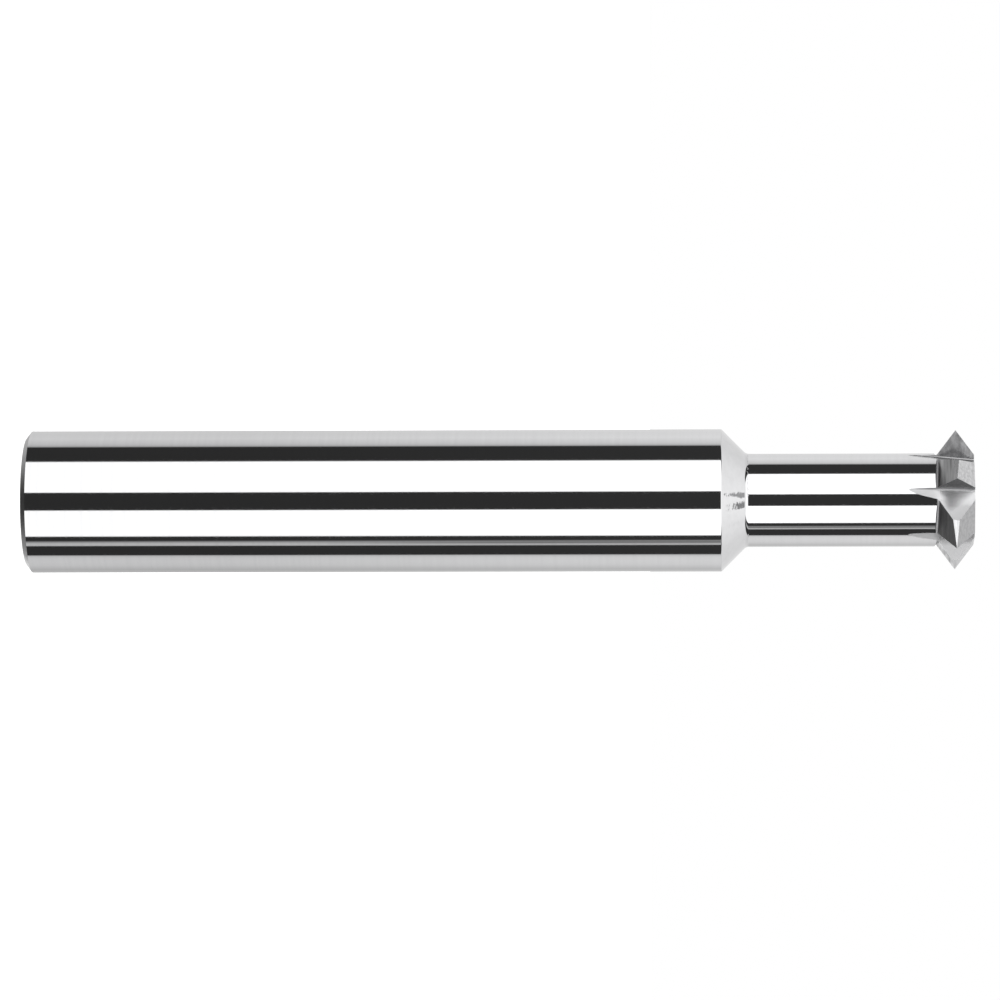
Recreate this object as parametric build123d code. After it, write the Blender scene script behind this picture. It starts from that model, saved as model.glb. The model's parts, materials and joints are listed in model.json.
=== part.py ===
from build123d import *
import math
import os

# Double-angle cutter, ground from one solid-carbide rod. Lengths in millimetres, angles in degrees.
# The tool axis is +Z. The origin is the centre of the flat shank end, so the tool stands on that end
# with its cutting head at the top.

# Rod and shank
overall_length = 63.5
shank_diameter = 9.525
bevel_width = 0.48
bevel_length = 0.354
shank_edge_radius = 0.1

# Shoulder cone and neck
cone_angle = 45.0
cone_fillet = 0.4
neck_diameter = 6.223
neck_length = 12.7
head_fillet = 0.12

# Cutting head: a V with equal flanks, whose roots lie at the neck's diameter
cutter_diameter = 9.525
included_angle = 74.0
tooth_count = 6
first_tooth_angle = -107.5
rake_angle = 4.5

# Relief behind each cutting edge. The crest's flat is ground over this share of its chord, and so ends in
# the flute behind. The two flanks also close towards each other, by the flank clearance, and the wheel that
# grinds the rear one leaves a narrow land and a leaning step on the neck
rear_relief_angle = 19.0
front_relief_angle = 22.5
crest_relief_angle = 32.0
crest_reach = 0.75
flank_clearance = 2.5
land_width = 0.12
step_lean = 18.0

# Flutes: each one gets shallower towards the shank and runs out on the neck
flute_depth = 0.41
flute_taper = 5.2
flute_corner_radius = 0.15
floor_radius = 4.5
floor_turn = 15.5

# Worked out from the sizes above
shank_radius = shank_diameter / 2
neck_radius = neck_diameter / 2
cutter_radius = cutter_diameter / 2
half_angle = math.radians(included_angle / 2)
half_width = (cutter_radius - neck_radius) * math.tan(half_angle)
tip_height = overall_length - half_width
root_height = overall_length - 2 * half_width
cone_top = root_height - neck_length
cone_bottom = cone_top - (shank_radius - neck_radius) / math.tan(math.radians(cone_angle))

# The blank's crest stands this far above the finished teeth, and each cutter runs this far past the work
grinding_stock = 0.1
overrun = 1.0

# In each tooth's own frame, +X is radial through its tip, and +Y points the way the tooth cuts
tip = Vector(cutter_radius, 0)
rake = math.radians(rake_angle)
rake_outward = Vector(math.cos(rake), -math.sin(rake))


def rake_point(radius):
    """Point of the rake face at this distance from the tool axis."""
    inward = cutter_radius * math.cos(rake) - math.sqrt(radius**2 - (cutter_radius * math.sin(rake)) ** 2)
    return tip - rake_outward * inward


def ground_blank():
    """The turned form before the teeth are cut: shank, cone, neck and a plain V at the head."""
    cone_start = (shank_radius, cone_bottom)
    cone_end = (neck_radius, cone_top)
    head_start = (neck_radius, root_height)
    profile = make_face(
        Polyline(
            (0, 0),
            (shank_radius - bevel_width, 0),
            (shank_radius, bevel_length),
            cone_start,
            cone_end,
            head_start,
            (cutter_radius + grinding_stock, tip_height),
            (neck_radius, overall_length),
            (0, overall_length),
            close=True,
        )
    )
    roundings = ((cone_start, shank_edge_radius), (cone_end, cone_fillet), (head_start, head_fillet))
    for corner, radius in roundings:
        profile = fillet(profile.vertices().sort_by_distance(corner)[0], radius)
    return revolve(Plane.XZ * profile, Axis.Z)


def flute():
    """The notch in front of a tooth: the flat rake wall, a small corner radius and a floor.

    The floor starts square to the tooth, bends outwards on a large radius and leaves straight. The whole
    section slides outwards along the rake wall towards the shank.
    """
    slope = math.tan(math.radians(flute_taper))
    top = overall_length + overrun
    bottom = overall_length - flute_depth / slope - overrun
    corner = rake_point(neck_radius - flute_depth) - rake_outward * (overrun * slope)

    def floor_point(angle):
        return corner + Vector(1 - math.cos(angle), math.sin(angle)) * floor_radius

    turn = math.radians(floor_turn)
    floor_end = floor_point(turn)
    heel = floor_end + Vector(math.sin(turn), math.cos(turn)) * cutter_diameter
    wall_top = tip + rake_outward * cutter_radius
    section = make_face(
        [
            ThreePointArc(corner, floor_point(turn / 2), floor_end),
            Line(floor_end, heel),
            Line(heel, wall_top),
            Line(wall_top, corner),
        ]
    )
    section = fillet(section.vertices().sort_by_distance(corner)[0], flute_corner_radius)
    sweep = Vector(rake_outward.X * slope, rake_outward.Y * slope, -1)
    return extrude(Pos(0, 0, top) * section, amount=(top - bottom) * sweep.length, dir=sweep.normalized())


# Plane of the rake face: local X runs outwards through the tip, from zero there, and local Y is the height
rake_plane = Plane(
    origin=(tip.X, tip.Y, 0),
    x_dir=(rake_outward.X, rake_outward.Y, 0),
    z_dir=(rake_outward.Y, -rake_outward.X, 0),
)
edge_depth = (tip - rake_point(neck_radius)).length
edge_rise = half_width / edge_depth


def carried_back(outline, relief_angle, closing):
    """What a wheel removes behind a tooth: an outline in the rake face, carried back and inwards."""
    relief = math.radians(relief_angle)
    back = Vector(-math.sin(relief), -math.cos(relief), closing * math.tan(math.radians(flank_clearance)))
    chord = 2 * cutter_radius * math.sin(relief)
    section = make_face(Polyline(*outline, close=True))
    return extrude(rake_plane * section, amount=(chord + overrun) * back.length, dir=back.normalized())


def rear_relief():
    """Behind the edge on the shank side, with the land and the step where the wheel meets the neck."""
    land_end = root_height - land_width
    lean = math.tan(math.radians(step_lean))
    outline = [
        (-edge_depth, root_height),
        (cutter_radius, tip_height + cutter_radius * edge_rise),
        (cutter_radius, land_end - (cutter_radius + edge_depth) * lean),
        (-edge_depth, land_end),
    ]
    return carried_back(outline, rear_relief_angle, 1)


def front_relief():
    """Behind the edge on the free end's side, open past the front face."""
    top = overall_length + overrun
    outline = [
        (-(top - tip_height) / edge_rise, top),
        (cutter_radius, tip_height - cutter_radius * edge_rise),
        (cutter_radius, top),
    ]
    return carried_back(outline, front_relief_angle, -1)


def crest_relief():
    """The steeper flat behind a tooth's tip, which narrows to nothing at the cutting point."""
    relief = math.radians(crest_relief_angle)
    back = Vector(-math.sin(relief), -math.cos(relief))
    out = Vector(math.cos(relief), -math.sin(relief))
    chord = 2 * cutter_radius * math.sin(relief)
    start = tip - back * overrun
    end = tip + back * (chord * crest_reach)
    section = make_face(Polyline(start, end, end + out * overrun, start + out * overrun, close=True))
    return extrude(Pos(0, 0, root_height) * section, amount=overall_length + overrun - root_height)


def double_angle_cutter():
    """The finished tool."""
    cuts = []
    for index in range(tooth_count):
        turned = Rot(0, 0, first_tooth_angle - index * 360 / tooth_count)
        for cut in (flute(), rear_relief(), front_relief(), crest_relief()):
            cuts.append(turned * cut)
    return ground_blank() - cuts


os.makedirs("parts", exist_ok=True)
export_step(double_angle_cutter(), "parts/double_angle_cutter.step")
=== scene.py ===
import json
import math

import bmesh
import bpy
import numpy as np
from mathutils import Matrix, Vector


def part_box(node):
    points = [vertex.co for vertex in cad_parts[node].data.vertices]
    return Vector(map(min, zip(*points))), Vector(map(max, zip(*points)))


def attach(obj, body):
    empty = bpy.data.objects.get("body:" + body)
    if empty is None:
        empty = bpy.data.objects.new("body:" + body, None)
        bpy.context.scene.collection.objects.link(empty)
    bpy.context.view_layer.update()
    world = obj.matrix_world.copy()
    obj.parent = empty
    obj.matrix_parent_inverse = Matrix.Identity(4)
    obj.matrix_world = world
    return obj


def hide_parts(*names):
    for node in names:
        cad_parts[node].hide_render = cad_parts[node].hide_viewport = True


# Looks of a double-angle cutter: a solid-carbide tool with a mirror-polished shank and neck and a ground
# V-shaped head. Lengths are in metres, with the tool axis on +Z and the shank end on the floor.

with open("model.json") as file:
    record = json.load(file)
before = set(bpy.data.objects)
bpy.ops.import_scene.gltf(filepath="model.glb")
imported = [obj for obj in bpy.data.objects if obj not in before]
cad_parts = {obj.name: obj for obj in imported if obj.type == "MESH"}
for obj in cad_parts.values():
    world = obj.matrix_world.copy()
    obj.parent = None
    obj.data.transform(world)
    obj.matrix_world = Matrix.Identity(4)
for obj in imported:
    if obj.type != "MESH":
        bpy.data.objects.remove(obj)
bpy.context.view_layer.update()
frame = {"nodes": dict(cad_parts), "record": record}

MM = 0.001

# The turned blank. Its shank radius and its length come from the frame, the others are the solid's own
shank_radius = frame["record"]["mounts"][0]["dims"]["r_mm"] * MM
overall_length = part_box("double_angle_cutter")[1].z
neck_radius = 3.1115 * MM
end_bevel = 0.354 * MM
shank_edge_radius = 0.1 * MM
cone_fillet = 0.4 * MM
head_fillet = 0.12 * MM
neck_length = 12.7 * MM
head_height = 2.488 * MM
land_width = 0.12 * MM
cone_slope = math.radians(45)
flank_slope = math.radians(53)

head_foot = overall_length - head_height
cone_top = head_foot - neck_length
cone_foot = cone_top - (shank_radius - neck_radius) / math.tan(cone_slope)

# How faces are told apart, by the upward part of their unit normals. It is next to none on rakes and
# crests, small in the flutes, lower than front_rise on rear flanks and more on front ones, and most on the
# step by the neck
level_rise = 0.005
front_rise = 0.05
flute_rise = 0.12
step_rise = 0.2

# They are also told apart by the part that faces the way of cutting: nearly all of a rake's normal does,
# and some of a gullet corner's
gullet_facing = 0.25
rake_facing = 0.9

# A face of the blank leans at most this from the turned form, and a sharper turn than a crease is an edge
blank_lean = math.radians(4)
crease = math.radians(24)

# The blank's polished and ground faces part this far from the corners of its form, because of the
# fillets. Corners of the mesh this close, in metres, are merged
height_margin = 0.03 * MM
fillet_margin = 0.12 * MM
merge_distance = 1e-7

# The camera, and the floor's radius and the number of its corners
camera_place = Vector((-0.062, -392.2, 48.18)) * MM
camera_aim = Vector((-0.062, 0, 31.81)) * MM
camera_roll = math.radians(-0.135)
camera_lens = 210.7
floor_radius = 2.6
floor_corners = 64


def linear(code):
    """Linear RGBA of an sRGB hex colour: each channel is undone by the sRGB curve."""
    channels = np.array([int(code[i : i + 2], 16) for i in (1, 3, 5)]) / 255
    low, high = channels / 12.92, ((channels + 0.055) / 1.055) ** 2.4
    return (*np.where(channels <= 0.04045, low, high).tolist(), 1.0)


def add(tree, kind, sockets=None, stops=(), **settings):
    """Adds one node and gives its outputs. It gets its settings, its stops of (place, grey level) if it is
    a ramp, and its sockets, which are named or numbered and hold a value or another node's output."""
    made = tree.nodes.new("ShaderNode" + kind)
    for name, value in settings.items():
        setattr(made, name, value)
    for number, (place, level) in enumerate(stops):
        elements = made.color_ramp.elements
        element = elements[number] if number < 2 else elements.new(1)
        element.position, element.color = place, (level, level, level, 1)
    for name, value in (sockets or {}).items():
        if isinstance(value, bpy.types.NodeSocket):
            tree.links.new(value, made.inputs[name])
        else:
            made.inputs[name].default_value = value
    return made.outputs


# Which surface of the tool a face belongs to
POLISHED, CONE, END, REAR, FRONT, CREST, LAND, STEP, RAKE, GULLET, FLUTE = range(11)


def whole(collection, name, size, kind=np.float64):
    """One attribute of all of a mesh's elements, as an array with a row for each."""
    found = np.zeros(len(collection) * size, kind)
    collection.foreach_get(name, found)
    return found.reshape(-1, size) if size > 1 else found


def blank_slope_sine(height):
    """Sine of the blank's outward tilt towards +Z. It changes evenly with height on a round fillet."""
    steep = math.sin(cone_slope)
    edge_start = cone_foot - shank_edge_radius * math.tan(cone_slope / 2)
    fillet_end = cone_top + cone_fillet * math.tan(cone_slope / 2)
    head_start = head_foot - head_fillet * math.tan(flank_slope / 2)
    knots = (
        (edge_start, 0),
        (edge_start + shank_edge_radius * steep, steep),
        (fillet_end - cone_fillet * steep, steep),
        (fillet_end, 0),
        (head_start, 0),
        (head_start + head_fillet * math.sin(flank_slope), -math.sin(flank_slope)),
    )
    return np.interp(height, *zip(*knots))


def blank_normals(places):
    """Outward normals of the turned blank at these places: radial, tilted by the blank's slope there."""
    sine = blank_slope_sine(places[:, 2])
    radial = places[:, :2] / np.linalg.norm(places[:, :2], axis=1)[:, None]
    return np.column_stack((radial * np.sqrt(1 - sine**2)[:, None], sine))


def surface_of_each_face(centres, normals, blank_normal):
    """Sorts faces by height and by how their normals lie to the axis, the radius and the way of cutting."""
    height = centres[:, 2]
    radial = centres[:, :2] / np.maximum(np.linalg.norm(centres[:, :2], axis=1), 1e-9)[:, None]
    forwards = np.column_stack((-radial[:, 1], radial[:, 0]))
    towards_cut = (normals[:, :2] * forwards).sum(1)
    rise = normals[:, 2]
    on_blank = (normals * blank_normal).sum(1) > math.cos(blank_lean)
    by_neck = (height > head_foot - 2 * land_width) & (height < head_foot + 0.5 * land_width)
    surface = np.where(rise < front_rise, REAR, FRONT)
    surface[np.abs(rise) < level_rise] = CREST
    surface[by_neck & (np.abs(rise) < step_rise)] = LAND
    surface[by_neck & (rise > step_rise)] = STEP
    in_flute = (height > cone_top) & (rise > level_rise) & (rise < flute_rise)
    surface[in_flute] = FLUTE
    surface[in_flute & (towards_cut > gullet_facing)] = GULLET
    surface[(height > cone_top) & (np.abs(rise) < level_rise) & (towards_cut > rake_facing)] = RAKE
    turned = (height < head_foot - 2 * land_width) & (surface <= CREST)
    surface[turned | (on_blank & (height < head_foot + height_margin))] = POLISHED
    surface[(height > cone_foot + height_margin) & (height < cone_top - fillet_margin)] = CONE
    surface[(height < end_bevel) | (rise > 0.99)] = END
    return surface


def dressed_cutter():
    """The CAD solid's own mesh, merged, with a finish for each surface and the blank's true normals.

    The loose triangles carry normals averaged over their neighbours, which bend the reflections in the
    polished shank and neck. Here a corner on the blank gets the normal of the turned form itself. One on a
    flute's floor gets the mean normal of the floor's faces there, by area. Edges between surfaces are sharp.
    """
    mesh = frame["nodes"]["double_angle_cutter"].data.copy()
    mesh.name = "cutter"
    work = bmesh.new()
    work.from_mesh(mesh)
    bmesh.ops.remove_doubles(work, verts=work.verts, dist=merge_distance)
    for face in work.faces:
        face.smooth = True
    work.to_mesh(mesh)
    work.free()

    faces, corners = mesh.polygons, mesh.loops
    centres = whole(faces, "center", 3)
    normals = whole(faces, "normal", 3)
    surface = surface_of_each_face(centres, normals, blank_normals(centres))

    face_of_corner = np.repeat(np.arange(len(faces)), 3)
    order = np.argsort(whole(corners, "edge_index", 1, np.int32), kind="stable")
    pairs = face_of_corner[order].reshape(-1, 2)
    turn = (normals[pairs[:, 0]] * normals[pairs[:, 1]]).sum(1)
    curved = np.isin(surface, (GULLET, FLUTE))[pairs].all(1)
    apart = (surface[pairs[:, 0]] != surface[pairs[:, 1]]) & ~curved
    sharp = apart | (turn < math.cos(crease))
    mesh.attributes.new("sharp_edge", "BOOLEAN", "EDGE").data.foreach_set("value", sharp)

    corner_vertex = whole(corners, "vertex_index", 1, np.int32)
    places = whole(mesh.vertices, "co", 3)[corner_vertex]
    smooth = whole(mesh.corner_normals, "vector", 3)
    turned = np.isin(surface, (POLISHED, CONE))[face_of_corner]
    smooth[turned] = blank_normals(places[turned])
    floor = np.isin(surface, (GULLET, FLUTE))[face_of_corner]
    total = np.zeros((len(mesh.vertices), 3))
    by_area = normals * whole(faces, "area", 1)[:, None]
    np.add.at(total, corner_vertex[floor], by_area[face_of_corner[floor]])
    mean = total / np.maximum(np.linalg.norm(total, axis=1), 1e-30)[:, None]
    smooth[floor] = mean[corner_vertex[floor]]
    mesh.normals_split_custom_set(smooth.tolist())

    cutter = bpy.data.objects.new("cutter", mesh)
    bpy.context.scene.collection.objects.link(cutter)
    mesh.materials.clear()
    finishes = (
        polished_carbide, ground_cone, ground_end, ground_rear, ground_front, ground_crest, ground_land,
        painted_shade_step, painted_shade_rake, ground_gullet, ground_flute,
    )
    for finish in finishes:
        mesh.materials.append(finish())
    faces.foreach_set("material_index", surface.astype(np.int32))
    return cutter


def metal(name, colour, roughness):
    """A bare metal: gives the material and its shader."""
    material = bpy.data.materials.new(name)
    material.use_nodes = True
    shader = material.node_tree.nodes["Principled BSDF"]
    shader.inputs["Base Color"].default_value = linear(colour)
    shader.inputs["Metallic"].default_value = 1
    shader.inputs["Roughness"].default_value = roughness
    return material, shader


def ground(name, colours, roughness, spacing, length, depth, turned=True, seed=1, spread=0.0, rise=()):
    """A ground metal, between a light and a dull colour and between two roughnesses.

    Noise stretched to the spacing and length of the wheel's marks sets the share of each. It also raises
    the surface by up to depth. The marks run round the tool, or along it where turned is false, and the
    spread from 0 to 1 is how much more marks along the tool blur a reflection round it than along it.
    Where there are two heights of a rise, the first colour and roughness give way to the second between
    them, and the marks vary only a small part of that.
    """
    material, shader = metal(name, colours[0], roughness[0])
    tree = material.node_tree
    around, along = (1 / length, 1 / spacing) if turned else (1 / spacing, 1 / length)
    place = add(tree, "TexCoord")["Object"]
    mapping = {"Vector": place, "Scale": (around, around, along), "Location": [seed] * 3}
    scaled = add(tree, "Mapping", mapping)["Vector"]
    marks = add(tree, "TexNoise", {"Vector": scaled, "Scale": 1, "Detail": 3})["Fac"]
    share = add(tree, "MapRange", {"Value": marks, "From Min": 0.3, "From Max": 0.7})["Result"]
    if rise:
        from_marks, from_height = 0.12, 0.88
        height = add(tree, "SeparateXYZ", {"Vector": place})["Z"]
        span = {"Value": height, "From Min": rise[0], "From Max": rise[1], "To Max": from_height}
        risen = add(tree, "MapRange", span, interpolation_type="SMOOTHSTEP")["Result"]
        share = add(tree, "Math", {0: share, 1: from_marks, 2: risen}, operation="MULTIPLY_ADD")[0]
    mix = {0: share, 6: linear(colours[0]), 7: linear(colours[1])}
    colour = add(tree, "Mix", mix, data_type="RGBA")[2]
    span = {"Value": share, "To Min": roughness[0], "To Max": roughness[1]}
    dulling = add(tree, "MapRange", span)["Result"]
    bump = add(tree, "Bump", {"Height": marks, "Strength": 1, "Distance": depth})["Normal"]
    if spread:
        shader.inputs["Anisotropic"].default_value = spread
        round_tool = add(tree, "Tangent", direction_type="RADIAL", axis="Z")["Tangent"]
        tree.links.new(round_tool, shader.inputs["Tangent"])
    tree.links.new(colour, shader.inputs["Base Color"])
    tree.links.new(dulling, shader.inputs["Roughness"])
    tree.links.new(bump, shader.inputs["Normal"])
    return material


# The finishes. Real wheel marks are some hundredths of a millimetre apart or less, too fine to show, so all
# of them are drawn coarser. Each finish gives its marks as their spacing, their length and their depth


def polished_carbide():
    # Cemented carbide polished between centres: a mirror, with hard bands of the room and faint rings.
    # The real rings are a few micrometres apart, and are drawn at 0.3 mm, because finer ones don't show
    marks = 0.3 * MM, 20 * MM, 0.00001 * MM
    return ground("polished carbide", ("#C8C8C9", "#C5C5C6"), (0.04, 0.07), *marks)


def ground_cone():
    # Carbide shoulder ground by a fine wheel at an angle: a soft sheen, with blotches where it dwelt
    marks = 0.4 * MM, 0.55 * MM, 0.01 * MM
    return ground("ground cone", ("#C8C8C9", "#C4C4C5"), (0.03, 0.07), *marks, seed=5)


def ground_end():
    # Carbide ground flat on a cup wheel: an even satin, at the bevelled end and the head's front
    marks = 0.2 * MM, 1 * MM, 0.0005 * MM
    return ground("ground end", ("#C0C0C1", "#B8B8B9"), (0.18, 0.24), *marks, turned=False)


def ground_rear():
    # Relief-ground carbide on the shank side: satin, with lines that run round the tool
    marks = 0.25 * MM, 3 * MM, 0.004 * MM
    return ground("ground rear flank", ("#DCDCDD", "#989899"), (0.28, 0.4), *marks)


def ground_front():
    # Relief-ground carbide on the free end's side: the same satin, but cross-ground, so finely mottled
    marks = 0.14 * MM, 0.25 * MM, 0.002 * MM
    return ground("ground front flank", ("#C8C8C9", "#A6A6A7"), (0.28, 0.4), *marks)


def ground_crest():
    # Narrow relief behind each tip, ground last and with a fine wheel: the brightest flat on a tooth
    return ground("ground crest", ("#CCCCCD", "#BEBEBF"), (0.24, 0.3), 0.1 * MM, 1 * MM, 0.0005 * MM)


def ground_land():
    # Land beside the neck, left by the wheel's worn corner: duller than the flanks
    return ground("ground land", ("#A8A8A9", "#929293"), (0.45, 0.55), 0.1 * MM, 2 * MM, 0.001 * MM)


def painted_shade_step():
    # Step at the foot of the rear relief, painted dark grey: painted shade, standing in for the shade that
    # falls on this narrow step
    return ground("step with painted shade", ("#6E6E6F", "#5A5A5B"), (0.4, 0.5), 0.1 * MM, 2 * MM, 0.001 * MM)


def painted_shade_rake():
    # Rake faces ground on a finer wheel: smoother than the flanks, with cloudy marks. Their dark grey is
    # painted shade, standing in for the shade on faces that look down into the gullets
    return ground("rake with painted shade", ("#868687", "#707071"), (0.14, 0.24), 0.25 * MM, 0.6 * MM, 0.0015 * MM)


def ground_gullet():
    # Gullet corner, where the flute wheel's edge rounds off: a fine bright line beside the rake face
    marks = 0.1 * MM, 2 * MM, 0.0001 * MM
    return ground("ground gullet", ("#A0A0A1", "#8E8E8F"), (0.26, 0.36), *marks, turned=False)


def ground_flute():
    # Flute floors ground along the tool: satin, with a reflection drawn out round the tool, and paler and
    # rougher where they run out on the neck and the wheel only grazes it
    marks = 0.15 * MM, 0.6 * MM, 0.0001 * MM
    rise = head_foot - 0.5 * MM, head_foot + 0.3 * MM
    colours, roughness = ("#C4C4C5", "#B8B8B9"), (0.5, 0.23)
    return ground("ground flute", colours, roughness, *marks, turned=False, spread=0.8, rise=rise)


def levels_along(tree, value, stops):
    """Levels by value, straight between stops of (value, level). A ramp holds them as shares of the top."""
    low, high, top = stops[0][0], stops[-1][0], max(level for _, level in stops)
    share = add(tree, "MapRange", {"Value": value, "From Min": low, "From Max": high})["Result"]
    shares = [((place - low) / (high - low), level / top) for place, level in stops]
    part = add(tree, "ValToRGB", {"Fac": share}, stops=shares)["Color"]
    return add(tree, "Math", {0: part, 1: top}, operation="MULTIPLY")[0]


def patch(tree, light, level, share, *edges):
    """Turns light into level, by share, where each value lies between its low and its high edge.

    Across each edge, the share falls smoothly to nothing over twice the edge's softness.
    """
    for value, low, high, soft in edges:
        for start, end in ((low - soft, low + soft), (high + soft, high - soft)):
            rise = {"Value": value, "From Min": start, "From Max": end}
            part = add(tree, "MapRange", rise, interpolation_type="SMOOTHSTEP")["Result"]
            share = add(tree, "Math", {0: share, 1: part}, operation="MULTIPLY")[0]
    return add(tree, "Mix", {0: share, 2: light, 3: level}, data_type="FLOAT")[0]


def studio_world():
    """White to the camera. To the metal it is a light tent: a tall white panel round the camera with a
    slot for the lens, dark gaps at the panel's sides with a grey strip across one, a pale rear half, a
    bright ceiling and a dark base.

    Angles are in degrees, as seen from the tool: azimuth 0 is towards the camera, and it grows towards -X.
    """
    world = bpy.data.worlds.new("studio")
    bpy.context.scene.world = world
    world.use_nodes = True
    tree = world.node_tree
    tree.nodes.clear()
    direction = add(tree, "SeparateXYZ", {"Vector": add(tree, "TexCoord")["Generated"]})
    aside = add(tree, "Math", {0: direction["X"], 1: -1}, operation="MULTIPLY")[0]
    ahead = add(tree, "Math", {0: direction["Y"], 1: -1}, operation="MULTIPLY")[0]
    heading = add(tree, "Math", {0: aside, 1: ahead}, operation="ARCTAN2")[0]
    azimuth = add(tree, "Math", {0: heading}, operation="DEGREES")[0]
    to_side = add(tree, "Math", {0: azimuth}, operation="ABSOLUTE")[0]
    lift = add(tree, "Math", {0: direction["Z"]}, operation="ARCSINE")[0]
    elevation = add(tree, "Math", {0: lift}, operation="DEGREES")[0]

    panel, gap, base = 1.8, 0.04, 0.45
    strip, strip_shade = 0.58, 0.24
    far_foot, corner, base_ahead = 1.1, 0.35, 0.7
    horizon = (
        (-180, 0.7), (-165, 0.62), (-148, 0.62), (-139, 0.72), (-127, 0.87), (-115, 0.93), (-105, 0.92),
        (-98.8, 0.75), (-97.1, gap), (-76.9, gap), (-75.9, 0.78), (-71.5, 0.72), (-68, 0.3), (-66.8, gap),
        (-58.7, gap), (-57.5, panel), (67.9, panel), (69.1, gap), (100.1, gap), (102, 0.6), (106, 0.8),
        (112, 0.9), (125, 1), (160, 0.8), (180, 0.5),
    )
    tent = levels_along(tree, azimuth, horizon)

    # The base below the panel, the slot for the lens and the camera's stand below it
    tent = patch(tree, tent, base, 1, (azimuth, -58, 68, 1), (elevation, -100, -9, 1.5))
    tent = patch(tree, tent, gap, 1, (azimuth, -14, 15, 0.6), (elevation, -22, 15, 3))
    tent = patch(tree, tent, gap, 1, (azimuth, -42, 0, 3), (elevation, -60, -9, 1.5))

    # The grey strip is darker from just below level to a little above it, and darkest on the panel's side
    tent = patch(tree, tent, strip, 1, (azimuth, -75.7, -69, 0.7), (elevation, -3.4, 10, 1.4))
    tent = patch(tree, tent, strip_shade, 1, (azimuth, -72.8, -69, 0.7), (elevation, -3.4, 10, 1.4))

    # The pale foot of the far wall
    tent = patch(tree, tent, far_foot, 1, (azimuth, -190, -155, 4), (elevation, -30, -9, 1.5))

    # The rear half and all above it get brighter with elevation, apart from the panel and the gaps beside it
    ceiling = ((0, 0.85), (12, 0.95), (44, 1.12), (60, 1.28), (75, 1.38), (82, 1.45))
    above = levels_along(tree, elevation, ceiling)
    risen = levels_along(tree, elevation, ((0, 0), (12, 1)))
    tent = patch(tree, tent, above, risen, (to_side, 100, 200, 2))
    tent = patch(tree, tent, above, 1, (to_side, -10, 101, 2), (elevation, 62, 100, 4))

    # A dark corner of the tent's frame by the ceiling
    across = (aside, -0.35, -0.1, 0.06), (ahead, -0.5, -0.2, 0.06)
    tent = patch(tree, tent, corner, 1, *across, (elevation, 50, 100, 5))

    # The light falls off towards the ground, and is strongest just above level. The low base on the camera's
    # side has a level of its own
    low_light = (
        (-90, 0.03), (-68, 0.04), (-60, 0.2), (-49, 0.55), (-35, 0.75), (-10, 1), (-5, 1), (-1, 1.14),
        (1, 1.2), (4, 1.2), (12, 1), (90, 1),
    )
    falling = levels_along(tree, elevation, low_light)
    lit = add(tree, "Math", {0: tent, 1: falling}, operation="MULTIPLY")[0]
    lit = patch(tree, lit, base_ahead, 1, (ahead, 0.3, 2, 0.1), (elevation, -100, -30, 3))

    seen = add(tree, "LightPath")["Is Camera Ray"]
    shown = add(tree, "Mix", {0: seen, 2: lit, 3: 1}, data_type="FLOAT")[0]
    light = add(tree, "Background", {"Color": shown, "Strength": 1})["Background"]
    add(tree, "OutputWorld", {"Surface": light})


def studio_floor():
    """A pale disc round the axis. It shows white to the camera and is left out of the reflections."""
    turn = np.linspace(0, 2 * math.pi, floor_corners, endpoint=False)
    rim = np.column_stack((np.cos(turn), np.sin(turn), 0 * turn)) * floor_radius
    mesh = bpy.data.meshes.new("floor")
    mesh.from_pydata(rim.tolist(), [], [list(range(len(rim)))])
    floor = bpy.data.objects.new("floor", mesh)
    bpy.context.scene.collection.objects.link(floor)
    material = bpy.data.materials.new("white floor")
    material.use_nodes = True
    tree = material.node_tree
    shader = tree.nodes["Principled BSDF"]
    shader.inputs["Base Color"].default_value = linear("#BCBCBC")
    shader.inputs["Roughness"].default_value = 1
    shader.inputs["Specular IOR Level"].default_value = 0
    seen = add(tree, "LightPath")["Is Camera Ray"]
    glow = add(tree, "Emission", {"Color": (1, 1, 1, 1), "Strength": seen})["Emission"]
    both = add(tree, "AddShader", {0: shader.outputs["BSDF"], 1: glow})["Shader"]
    tree.links.new(both, tree.nodes["Material Output"].inputs["Surface"])
    mesh.materials.append(material)
    floor.visible_glossy = False


def camera():
    """Lies on its side, so that the standing tool lies along the picture with its head at the right."""
    data = bpy.data.cameras.new("camera")
    data.lens = camera_lens
    made = bpy.data.objects.new("camera", data)
    bpy.context.scene.collection.objects.link(made)
    forwards = (camera_aim - camera_place).normalized()
    right = forwards.cross(Vector((-1, 0, 0))).normalized()
    up = right.cross(forwards)
    turned = Matrix((right, up, -forwards)).transposed().to_4x4()
    made.matrix_world = Matrix.Translation(camera_place) @ turned @ Matrix.Rotation(camera_roll, 4, "Z")
    bpy.context.scene.camera = made


cutter = dressed_cutter()
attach(cutter, "root")
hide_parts("double_angle_cutter")

studio_world()
studio_floor()
camera()
bpy.context.scene.view_settings.view_transform = "Standard"
